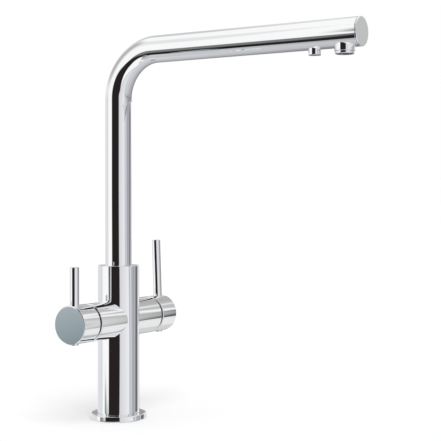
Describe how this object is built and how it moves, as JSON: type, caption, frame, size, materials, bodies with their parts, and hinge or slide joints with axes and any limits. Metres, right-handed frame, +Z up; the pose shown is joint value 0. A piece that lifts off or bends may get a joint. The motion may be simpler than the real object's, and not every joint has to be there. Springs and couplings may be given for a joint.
{
  "type": "three way filtered water tap",
  "caption": "Deck mounted kitchen tap with a tall swivel spout, separate main and filtered outlets, a mixer lever on one side and a filtered water lever on the other.",
  "frame": {"origin": "centre of the column on the underside of its foot, where the tap meets the worktop", "axes": "+Z up along the column, -Y towards the user along the spout's arm, +X to the mixer handle and -X to the filtered water handle"},
  "size_m": [0.144, 0.2775, 0.403],
  "materials": {
    "chrome": "mirror polished chromium plate on brass",
    "brass": "turned, unplated",
    "zinc_steel": "zinc plated",
    "stainless": "turned",
    "rubber": "matte",
    "ceramic": "lapped alumina ceramic",
    "white_plastic": "moulded",
    "grey_plastic": "moulded",
    "blue_tube": "extruded food grade polyethylene"
  },
  "bodies": {
    "tap_body": {"body_casting": "chrome", "base_flange": "chrome", "base_seal": "rubber", "fixing_stud": "zinc_steel", "fixing_gasket": "rubber", "fixing_washer": "zinc_steel", "fixing_nut": "brass", "spout_thrust_washer": "white_plastic", "spout_glide_ring": "chrome", "spout_stop_screw": "stainless", "filter_valve_nut": "brass", "mixer_valve_nut": "brass", "mixer_base_seal": "rubber", "mixer_cartridge": "white_plastic", "mixer_fixed_disc": "ceramic", "filter_valve_seal": "rubber", "filter_valve_body": "brass", "filter_fixed_disc": "ceramic"},
    "spout": {"spout_tube": "chrome", "spout_bush": "brass", "spout_oring_1": "rubber", "spout_oring_2": "rubber", "spout_end_cap": "chrome", "filter_spigot": "brass", "filter_spigot_oring": "rubber", "filter_tube": "blue_tube", "main_outlet_boss": "chrome", "aerator_gasket": "rubber", "aerator_insert": "grey_plastic", "aerator_housing": "chrome", "filter_outlet_boss": "chrome", "filter_outlet_insert": "grey_plastic"},
    "filter_handle": {"filter_cap": "chrome", "filter_lever": "chrome", "filter_grub_screw": "stainless", "filter_screw_plug": "chrome", "filter_spindle": "brass", "filter_spindle_oring": "rubber", "filter_moving_disc": "ceramic"},
    "mixer_turret": {"mixer_turret": "grey_plastic", "mixer_stem_pin": "stainless"},
    "mixer_handle": {"mixer_stem": "brass", "mixer_cap": "chrome", "mixer_lever": "chrome", "mixer_grub_screw": "stainless", "mixer_screw_plug": "chrome"},
    "mixer_disc": {"mixer_moving_disc": "ceramic", "mixer_disc_carrier": "grey_plastic"}
  },
  "joints": [
    {"name": "spout_swivel", "type": "hinge", "parent": "tap_body", "child": "spout", "pos_m": [0, 0, 0.125], "axis": [0, 0, 1], "range_deg": [-90, 90]},
    {"name": "filter_turn", "type": "hinge", "parent": "tap_body", "child": "filter_handle", "pos_m": [-0.035, 0, 0.0935], "axis": [1, 0, 0], "range_deg": [0, 90]},
    {"name": "mixer_temperature", "type": "hinge", "parent": "tap_body", "child": "mixer_turret", "pos_m": [0.0295, 0, 0.0935], "axis": [1, 0, 0], "range_deg": [-43, 47]},
    {"name": "mixer_flow", "type": "hinge", "parent": "mixer_turret", "child": "mixer_handle", "pos_m": [0.0295, 0, 0.0935], "axis": [0, 0.9994, -0.0349], "range_deg": [0, 18]},
    {"name": "mixer_disc_slide", "type": "slide", "parent": "mixer_turret", "child": "mixer_disc", "axis": [0, 0.0349, 0.9994], "range_m": [0, 0.0016]}
  ],
  "couplings": [
    {"joint": "mixer_disc_slide", "follows": "mixer_flow", "m_per_rad": 0.005}
  ]
}
